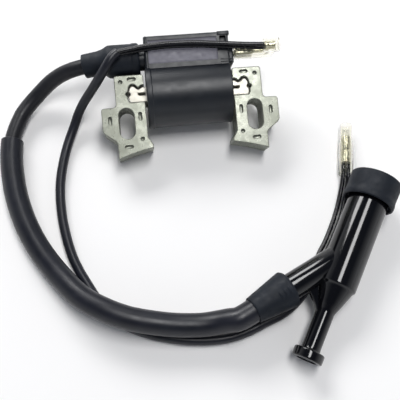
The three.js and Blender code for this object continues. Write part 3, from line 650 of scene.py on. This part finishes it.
def stacked_plate(name, outline, slots, dents, replaces, slot="lamination_steel", seed=1):
    """A stack of stamped sheets: rounded top and bottom edges, a groove between sheets."""
    chance = np.random.default_rng(seed)
    sheets, half = 25, STACK / 2
    thick = STACK / sheets
    levels = [(half, 0.35), (half - 0.06, 0.14), (half - 0.2, 0.0)]
    for sheet in range(1, sheets):
        z = half - sheet * thick
        shift = chance.uniform(-0.035, 0.035)
        levels += [(z + 0.10, shift), (z + 0.01, 0.09), (z - 0.01, 0.09), (z - 0.10, shift)]
    levels += [(-half + 0.2, 0.0), (-half + 0.06, 0.14), (-half, 0.35)]
    verts, faces, caps = [], [], {half: [], -half: []}

    def ring(loop, z):
        start = len(verts)
        verts.extend((x, y, z) for x, y in loop)
        return list(range(start, start + len(loop)))

    def wall(high, low):
        count = len(high)
        for i in range(count):
            j = (i + 1) % count
            faces.append((high[i], low[i], low[j], high[j]))

    for loop, sign in [(outline, 1)] + [(hole, -1) for hole in slots]:
        rings = [ring(inset(loop, sign * depth), z) for z, depth in levels]
        for high, low in zip(rings, rings[1:]):
            wall(*((high, low) if sign > 0 else (low, high)))
        caps[half].append(rings[0])
        caps[-half].append(rings[-1])
    for dent in dents:
        for side in (1, -1):
            z = side * half
            if side > 0:
                sunk = ((0.0, 0.0), (0.1, 0.08), (0.22, 0.5), (0.3, 1.3), (0.5, 1.4))
            else:
                sunk = ((0.0, 0.0), (0.12, -0.06), (0.3, -0.3), (0.5, -0.42), (0.7, -0.46))
            rings = [ring(inset(dent, step), z - depth) for step, depth in sunk]
            for high, low in zip(rings, rings[1:]):
                wall(*((low, high) if side > 0 else (high, low)))
            floor = rings[-1]
            faces.append(tuple(floor) if side > 0 else tuple(reversed(floor)))
            caps[z].append(rings[0])
    walls = len(faces)
    for z, loops in caps.items():
        lines = [[Vector((*verts[i][:2], 0.0)) for i in loop] for loop in loops]
        order = [i for loop in loops for i in loop]
        for a, b, c in tessellate_polygon(lines):
            tri = (order[a], order[b], order[c])
            pa, pb, pc = (np.array(verts[i][:2]) for i in tri)
            up = (pb - pa)[0] * (pc - pa)[1] - (pb - pa)[1] * (pc - pa)[0] > 0
            faces.append(tri if up == (z > 0) else tri[::-1])
    return piece(name, verts, faces, slot, "root", COIL, sharp=28.0, replaces=replaces,
                 flat=len(faces) - walls)


def armature():
    slot = obround((SLOT_SPACING / 2, SLOT_Y), SLOT_LENGTH / 2 - SLOT_WIDTH / 2, SLOT_WIDTH / 2, True)
    dents = [
        obround((27.1, 7.15), 1.25, 0.95, False), obround((38.8, -12.25), 1.25, 0.95, True),
        obround((24.4, -10.95), 1.25, 0.95, True), obround((30.8, -25.2), 1.25, 0.95, False),
        obround((32.5, 6.1), 0.02, 1.1, False), obround((24.2, -21.8), 0.02, 1.1, False),
    ]
    flip = lambda loop: np.array([(-x, y) for x, y in loop])[::-1]
    leg = leg_outline()
    stacked_plate("right_leg_stack", leg, [slot], dents, replaces=("right_leg_core",), seed=3)
    stacked_plate("left_leg_stack", flip(leg), [flip(slot)], [flip(d) for d in dents],
                  replaces=("left_leg_core",), seed=4)
    nick = np.array([(21.0, -0.95), (23.9, -0.95), (24.6, -0.5), (24.6, 0.35), (21.0, 0.35)])
    stacked_plate("core_bar_stack", bar_outline(), [nick, flip(nick)], [], replaces=("centre_core_bar",),
                  slot="bright_steel", seed=5)


armature()


# ------------------------------------------------------------------ coil body
def coil_case():
    """Barrel, potting box, terminal block and tower moulded in one piece."""
    inner = BODY_RADIUS - BARREL_WALL
    half = BODY_HALF
    barrel = lathe_x(rounded([
        (-half, 0), (-half, BODY_RADIUS), (-half + 2.5, BODY_RADIUS), (-half + 2.8, BODY_RADIUS - 0.25),
        (half, BODY_RADIUS - 0.25), (half, 0)], 0.45, 5), (0, BODY_Y, 0), 128)
    box = box_mesh((BOX_LEFT, BOX_LOW, BOX_BOTTOM), (BOX_RIGHT, BOX_HIGH, BOX_TOP), 0.9, 4)
    block = box_mesh((14, 11.5, -2), (22.8, 20.2, BOX_TOP - 0.6), 0.5, 3)
    tower_end = BOX_LEFT - TOWER_LENGTH
    tower = lathe_x([
        (tower_end, 0), (tower_end, TOWER_RADIUS - 0.5), (tower_end + 0.5, TOWER_RADIUS),
        (BOX_LEFT + 1, TOWER_RADIUS), (BOX_LEFT + 1, 0)], (0, TOWER_Y, TOWER_Z), 64)
    band = box_mesh(
        (-half + 0.4, 6, BOX_BOTTOM - 0.2), (-half + 2.4, BOX_HIGH + 0.05, BOX_TOP + 0.2), 0.95, 5)
    ledges = [box_mesh((16.4, y, 7.6), (21.8, y + 0.45, BOX_TOP + 0.25), 0.15, 2) for y in (11.9, 13.1)]
    shelf = box_mesh((15.6, BOX_HIGH - 1.9, 6), (21.5, BOX_HIGH + 0.1, BOX_TOP + 0.3), 0.3, 2)
    case = join_shapes(barrel, box, block, tower, band, shelf, *ledges)
    floor_x = -half + BARREL_WALL
    bore = lathe_x([
        (floor_x, 0), (floor_x, inner), (half - 0.6, inner), (half + 1, inner + 0.6), (half + 1, 0)],
        (0, BODY_Y, 0), 96)
    window = box_mesh((-half - 1, -4.4, -7.4), (0, 4.4, 7.4), 0.3, 2)
    box_floor = BOX_BOTTOM + BOX_WALL
    well = box_mesh(
        (MOUTH["left"], MOUTH["low"], box_floor), (MOUTH["right"], MOUTH["high"], BOX_TOP + 3), 0.7, 4)
    opening = box_mesh((MOUTH["left"], 8, box_floor), (MOUTH["right"], MOUTH["high"], 4.2), 0.5, 2)
    tower_bore = lathe_x([
        (tower_end - 1, 0), (tower_end - 1, TOWER_BORE), (TOWER_FLOOR_X, TOWER_BORE), (TOWER_FLOOR_X, 0)],
        (0, TOWER_Y, TOWER_Z), 48)
    pin_hole = lathe_x([(-26, 0), (-26, 1.4), (MOUTH["left"] + 1, 1.4), (MOUTH["left"] + 1, 0)],
                       (0, TOWER_Y, TOWER_Z), 24)
    spade_slot = box_mesh((MOUTH["right"] - 1, SPADE_Y - 0.8, SPADE_Z - SPADE_WIDTH / 2 - 0.4),
                          (24, SPADE_Y + 0.8, SPADE_Z + SPADE_WIDTH / 2 + 0.4), 0)
    recess = box_mesh((16.6, 21.4, 6.6), (19.8, 24.8, BOX_TOP + 1), 0.3, 2)
    carve(case, bore, window, opening, well, tower_bore, pin_hole, spade_slot, recess)
    keep_shape(case, "moulded_case", "case_plastic", place=COIL, sharp=32.0, replaces=("coil_case",))


def potting():
    """Cast compound: a faintly uneven face that climbs the walls of the box."""
    columns, rows = 97, 37
    left, right = MOUTH["left"] + 0.05, MOUTH["right"] - 0.05
    low, high = MOUTH["low"] + 0.05, MOUTH["high"] - 0.05
    bottom = BOX_TOP - 3.6
    verts, faces = [], []
    for j in range(rows):
        for i in range(columns):
            x = left + (right - left) * i / (columns - 1)
            y = low + (high - low) * j / (rows - 1)
            wall = min(x - left, right - x, y - low, high - y)
            z = BOX_TOP - 0.55 + 0.3 * math.exp(-wall / 0.45)
            z += 0.05 * math.sin(x * 0.31 + 1) * math.cos(y * 0.5) + 0.02 * math.sin(x * 1.3 + y * 0.9)
            verts.append((x, y, z))
    for j in range(rows - 1):
        for i in range(columns - 1):
            a = j * columns + i
            faces.append((a, a + 1, a + columns + 1, a + columns))
    edge = list(range(columns)) + [j * columns + columns - 1 for j in range(1, rows)]
    edge += [(rows - 1) * columns + i for i in range(columns - 2, -1, -1)]
    edge += [j * columns for j in range(rows - 2, 0, -1)]
    base = len(verts)
    verts += [(verts[i][0], verts[i][1], bottom) for i in edge]
    for k in range(len(edge)):
        after = (k + 1) % len(edge)
        faces.append((edge[k], base + k, base + after, edge[after]))
    faces.append(tuple(base + k for k in reversed(range(len(edge)))))
    piece("potting_face", verts, faces, "potting_epoxy", place=COIL, sharp=50.0,
          replaces=("potting_compound",))


def tower_boot():
    """Rubber boot: a fat sleeve over the tower, then a neck that follows the lead."""
    outside = rounded([
        (-2.8, 5.75), (-2.8, 7.6), (-1.9, 8.2), (0.4, 8.2), (1.0, 7.95), (12.2, 7.9), (14.4, 6.4),
        (16.4, 5.9), (23.4, 5.8), (24.3, 5.7), (24.3, 4.0)], 0.8, 5)
    inside = [(23.9, 3.9)] + [(s, 3.9) for s in np.linspace(22, 6, 12)] + [(5.6, 5.7), (0, 5.7)]
    verts, faces = swept(LEAD_TRACK, outside + inside, 72, closed=True)
    piece("tower_boot", verts, faces, "boot_rubber", sharp=50.0, replaces=("hv_boot",))


def flag_connector():
    """Female spade terminal turned up into a crimp, under a clear elbow sleeve."""
    y, z = SPADE_Y, SPADE_Z
    upper_y, upper_z = y + 0.5, z + 8.4
    terminal = join_shapes(
        carve(box_mesh((23.6, y - 1.4, z - 3.9), (33, y + 1.4, z + 3.9), 0.6, 3),
              box_mesh((23, y - 0.75, z - 3.45), (31.6, y + 0.75, z + 3.45), 0.25, 2)),
        box_mesh((32.6, y - 0.5, z - 2.4), (40.6, y + 0.5, z + 3), 0.15, 2),
        box_mesh((38.2, y - 0.5, z), (40.6, y + 0.5, upper_z), 0.15, 2),
        lathe_x(rounded([(37.6, 0), (37.6, 2), (39.6, 1.8), (42.4, 2), (42.4, 0)], 0.3),
                (0, upper_y, upper_z), 40),
    )
    keep_shape(terminal, "flag_blade", "brass_terminal", place=COIL, replaces=("flag_terminal",))
    shell = join_shapes(
        box_mesh((23, y - 2.3, z - 4.7), (43.4, y + 2.3, z + 4.7), 1.4, 5),
        box_mesh((37.4, y - 2.3, z), (43.4, y + 2.3, upper_z), 1.2, 4),
        lathe_x(rounded([(36.6, 0), (36.6, 3.3), (44.6, 3.3), (44.6, 0)], 0.5), (0, upper_y, upper_z), 48),
    )
    carve(
        shell,
        box_mesh((22, y - 1.75, z - 4.2), (42.8, y + 1.75, z + 4.2), 1.0, 4),
        box_mesh((37.9, y - 1.6, z), (42.8, y + 1.6, upper_z), 0.8, 3),
        lathe_x([(36, 0), (36, 2.7), (43.8, 2.7), (43.8, 0)], (0, upper_y, upper_z), 40),
    )
    keep_shape(shell, "flag_elbow", "clear_vinyl", place=COIL, sharp=40.0, replaces=("flag_sleeve",))


coil_case()
potting()
tower_boot()
flag_connector()


# ------------------------------------------------------------------ spark plug cap
ARM = Matrix.Translation((0, ARM_AT, 0)) @ Matrix.Rotation(math.pi - ARM_ANGLE, 4, "Z")


def cap_body():
    """Glossy moulded elbow: knob, neck, barrel and arm in one piece, bored for the plug."""
    body = lathe_y(rounded([
        (0, 0), (0, KNOB_RADIUS), (KNOB_LENGTH, KNOB_RADIUS), (KNOB_LENGTH + 0.2, NECK_RADIUS + 0.2),
        (KNOB_LENGTH + 1.6, NECK_RADIUS), (NECK_END, NECK_RADIUS), (NECK_END + 3, NECK_RADIUS + 1.3),
        (BARREL_START - 0.5, BARREL_RADIUS - 0.9), (BARREL_START + 0.4, BARREL_RADIUS),
        (BARREL_END, BARREL_RADIUS), (BARREL_END, 0)], 0.8, 6), 128)
    arm = lathe_y(rounded([
        (0, 0), (0, ARM_RADIUS), (ARM_SHOULDER, ARM_RADIUS), (ARM_SHOULDER, ARM_TIP_RADIUS),
        (ARM_END, ARM_TIP_RADIUS), (ARM_END, 0)], 0.5, 4), 96, ARM)
    shell = join_shapes(body, arm, web_plate())
    bore = lathe_y([
        (-1, 0), (-1, KNOB_RECESS), (2.2, KNOB_RECESS), (2.2, CHANNEL), (SOCKET_START - 3, CHANNEL),
        (SOCKET_START, SOCKET_RADIUS), (BARREL_END - 1.2, SOCKET_RADIUS),
        (BARREL_END + 1, SOCKET_RADIUS + 1.6), (BARREL_END + 1, 0)], 72)
    arm_bore = lathe_y([
        (0.5, 0), (0.5, 2.3), (10, 2.3), (10, 4.1), (ARM_END + 1, 4.1), (ARM_END + 1, 0)], 48, ARM)
    carve(shell, bore, arm_bore)
    keep_shape(shell, "cap_moulding", "cap_phenolic", "plug_cap", CAP, sharp=30.0, replaces=("cap_shell",))


def web_plate():
    """The thin web between the arm and the neck."""
    outline = [(-3.4, 20)] + quadratic((-3.4, 20), (-5.6, 25), (-11, 28.4), 10) + [(-11, 34), (-3.4, 36)]
    verts, faces = [], []
    count = len(outline)
    for z, shrink in ((-1.3, 0.35), (-0.95, 0.0), (0.95, 0.0), (1.3, 0.35)):
        verts += [(x, y, z) for x, y in inset(np.array(outline)[::-1], shrink)]
    for level in range(3):
        for i in range(count):
            j = (i + 1) % count
            low, high = level * count, (level + 1) * count
            faces.append((low + i, low + j, high + j, high + i))
    faces += [tuple(reversed(range(count))), tuple(range(3 * count, 4 * count))]
    return from_rows(verts, faces)


def seal_ring():
    """Soft ring on the barrel's mouth with a rolled rim."""
    profile = rounded([
        (SEAL_START + 1.6, 9.6), (SEAL_START + 1.6, SEAL_RADIUS - 1.9), (SEAL_START, SEAL_RADIUS - 1.5),
        (SEAL_START, SEAL_RADIUS - 0.2), (SEAL_START + 1.8, SEAL_RADIUS),
        (SEAL_START + 4.0, SEAL_RADIUS - 0.35), (SEAL_END - 3.0, SEAL_RADIUS - 0.1),
        (SEAL_END, SEAL_RADIUS - 0.1), (SEAL_END, 8.4),
        (SEAL_END - 0.6, 7.6), (BARREL_END + 0.3, 8.1), (BARREL_END + 0.3, 9.6)], 0.9, 5, closed=True)
    verts, faces = swept(Y_AXIS, from_middle(profile), 96, closed=True)
    piece("seal_ring", verts, faces, "boot_rubber", "cap_seal_ring", CAP, sharp=60.0, replaces=("cap_seal",))


def tapered_boot():
    """Tapered sleeve from the arm to the protective tube, with three nibs on its thick end."""
    def nib(s, angle, radius):
        off = (angle - math.pi / 2 + math.pi) % (2 * math.pi) - math.pi
        lift = 0.0
        for at in (2.6, 4.8, 7.0):
            past = s - REACH - BOOT_START - at
            lift += 0.4 * math.exp(-(off / 0.2) ** 4) * math.exp(-(past / 0.5) ** 4)
        return radius + (lift if radius > BOOT_SMALL + 0.3 else 0.0)

    outside = [(BOOT_START, ARM_RADIUS + 0.3), (BOOT_START, BOOT_BIG - 0.7), (BOOT_START + 0.9, BOOT_BIG)]
    taper = np.linspace(BOOT_START + 1.4, BOOT_END - 1.2, 64)
    outside += [
        (s, BOOT_BIG + (BOOT_SMALL - 0.1 - BOOT_BIG) * (s - taper[0]) / (taper[-1] - taper[0]))
        for s in taper]
    outside += [(BOOT_END - 0.3, BOOT_SMALL - 0.2), (BOOT_END, BOOT_SMALL - 0.45)]
    inside = [(BOOT_END, 5.8), (ARM_END + 0.3, 5.8), (ARM_END + 0.3, 5.4), (ARM_SHOULDER + 0.3, 5.4),
              (ARM_SHOULDER + 0.3, ARM_RADIUS + 0.3)]
    verts, faces = swept(Y_AXIS, from_middle(outside + inside), 120, closed=True, warp=nib)
    piece("tapered_boot", verts, faces, "boot_rubber", "arm_sleeve", CAP @ ARM, sharp=50.0,
          replaces=("arm_boot",))


def knob_stopper():
    """Flat plug in the knob's end face."""
    rim = KNOB_RECESS - 0.3
    stopper = lathe_y(rounded([(0.35, 0), (0.35, rim), (1.9, rim), (1.9, 0)], 0.3), 48)
    keep_shape(stopper, "knob_stopper", "boot_rubber", "plug_cap", CAP, replaces=("neck_stopper",))


cap_body()
seal_ring()
tapered_boot()
knob_stopper()


# ------------------------------------------------------------------ bullet connector
def bullet():
    """Female bullet socket with a seam down its barrel, inside a clear sleeve."""
    span = BULLET_END - BULLET_START
    place = Matrix.Translation(BULLET_START) @ span.to_track_quat("Y", "Z").to_matrix().to_4x4()
    socket = lathe_y(rounded([
        (6.2, 0), (6.2, 2.4), (9.0, 2.2), (12, 2.4), (12.8, 1.7), (13.4, 2.25), (20.2, 2.25),
        (20.6, 2.1), (20.6, 1.85), (14, 1.85), (14, 0)], 0.15, 3), 64)
    seam = box_mesh((-0.22, 13.6, 0.5), (0.22, 21.5, 3.0), 0)
    carve(socket, seam)
    keep_shape(socket, "bullet_socket", "brass_terminal", place=place, replaces=("bullet_terminal",))
    profile = rounded([
        (0, 3.05), (0, 3.5), (16, 3.5), (19, 3.05), (27.3, 3.05), (27.3, 2.6), (19, 2.6), (16, 3.05)],
        0.2, 3, closed=True)
    verts, faces = swept(Y_AXIS, from_middle(profile), 64, closed=True)
    return piece("bullet_cover", verts, faces, "clear_vinyl", place=place, sharp=50.0,
                 replaces=("bullet_sleeve",))


bullet_cover = bullet()


# ------------------------------------------------------------------ pieces kept from the CAD
def dress_cad_nodes():
    """Procedural materials for the parts inside, which keep their CAD shapes."""
    slots = {
        "bobbin_nylon": ("primary_bobbin", "secondary_bobbin"),
        "copper_wire": ("primary_winding", "secondary_winding"),
        "board_laminate": ("module_board",),
        "case_plastic": ("power_transistor",),
        "film_resin": ("film_capacitor",),
        "ceramic_body": ("board_resistor_1", "board_resistor_2", "cap_resistor"),
        "brass_terminal": ("lt_spade_terminal", "hv_terminal_pin", "plug_clip", "lead_screw"),
        "bright_steel": ("cap_spring",),
    }
    for slot, names in slots.items():
        for name in names:
            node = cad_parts[name]
            node.data.materials.clear()
            node.data.materials.append(MATERIALS[slot])


dress_cad_nodes()


# ------------------------------------------------------------------ floor and light
def floor():
    """Pale paper just under the surface that the part lies on, in metres."""
    mesh = bpy.data.meshes.new("floor")
    reach, drop = 2.0, -0.0001
    corners = [(-1, -1), (1, -1), (1, 1), (-1, 1)]
    mesh.from_pydata([(reach * x, reach * y, drop) for x, y in corners], [], [(0, 1, 2, 3)])
    made = bpy.data.objects.new("floor", mesh)
    bpy.context.scene.collection.objects.link(made)
    made.data.materials.append(node_material(
        "floor_paper", (0.95, 0.94, 0.93), 0.9, shade=(0.94, 0.93, 0.92), mottle=80.0, bump=0.0))


def soft_light(name, place, target, size, power, turn=0.0):
    data = bpy.data.lights.new(name, "AREA")
    data.shape = "RECTANGLE"
    data.size, data.size_y = size
    data.energy = power
    light = bpy.data.objects.new(name, data)
    bpy.context.scene.collection.objects.link(light)
    light.location = place
    light.rotation_mode = "QUATERNION"
    aim = (Vector(target) - Vector(place)).to_track_quat("-Z", "Y")
    light.rotation_quaternion = aim @ Euler((0, 0, math.radians(turn))).to_quaternion()


def sky():
    """Bright near the horizon and dark overhead, so that black parts stay black."""
    world = bpy.data.worlds.new("studio")
    world.use_nodes = True
    nodes, links = world.node_tree.nodes, world.node_tree.links
    place = nodes.new("ShaderNodeTexCoord")
    split = nodes.new("ShaderNodeSeparateXYZ")
    ramp = nodes.new("ShaderNodeValToRGB")
    ramp.color_ramp.elements[0].position = 0.1
    ramp.color_ramp.elements[1].position = 0.75
    ramp.color_ramp.elements[0].color = (0.95, 0.97, 1.0, 1.0)
    ramp.color_ramp.elements[1].color = (0.06, 0.07, 0.095, 1.0)
    links.new(place.outputs["Generated"], split.inputs["Vector"])
    links.new(split.outputs["Z"], ramp.inputs["Fac"])
    links.new(ramp.outputs["Color"], nodes["Background"].inputs["Color"])
    nodes["Background"].inputs["Strength"].default_value = 0.98
    bpy.context.scene.world = world


def studio():
    """Sky, one window-like light beyond the coil and one narrow panel overhead, in metres."""
    sky()
    soft_light("key", (-0.4, 1.15, 0.9), (0.0, -0.05, 0.0), (0.9, 0.5), 15.5)
    soft_light("panel", (0.13, 0.05, 0.9), (0.02, -0.03, 0.0), (0.24, 0.5), 4.6, turn=37.0)
    bpy.context.scene.view_settings.view_transform = "Standard"


floor()
studio()
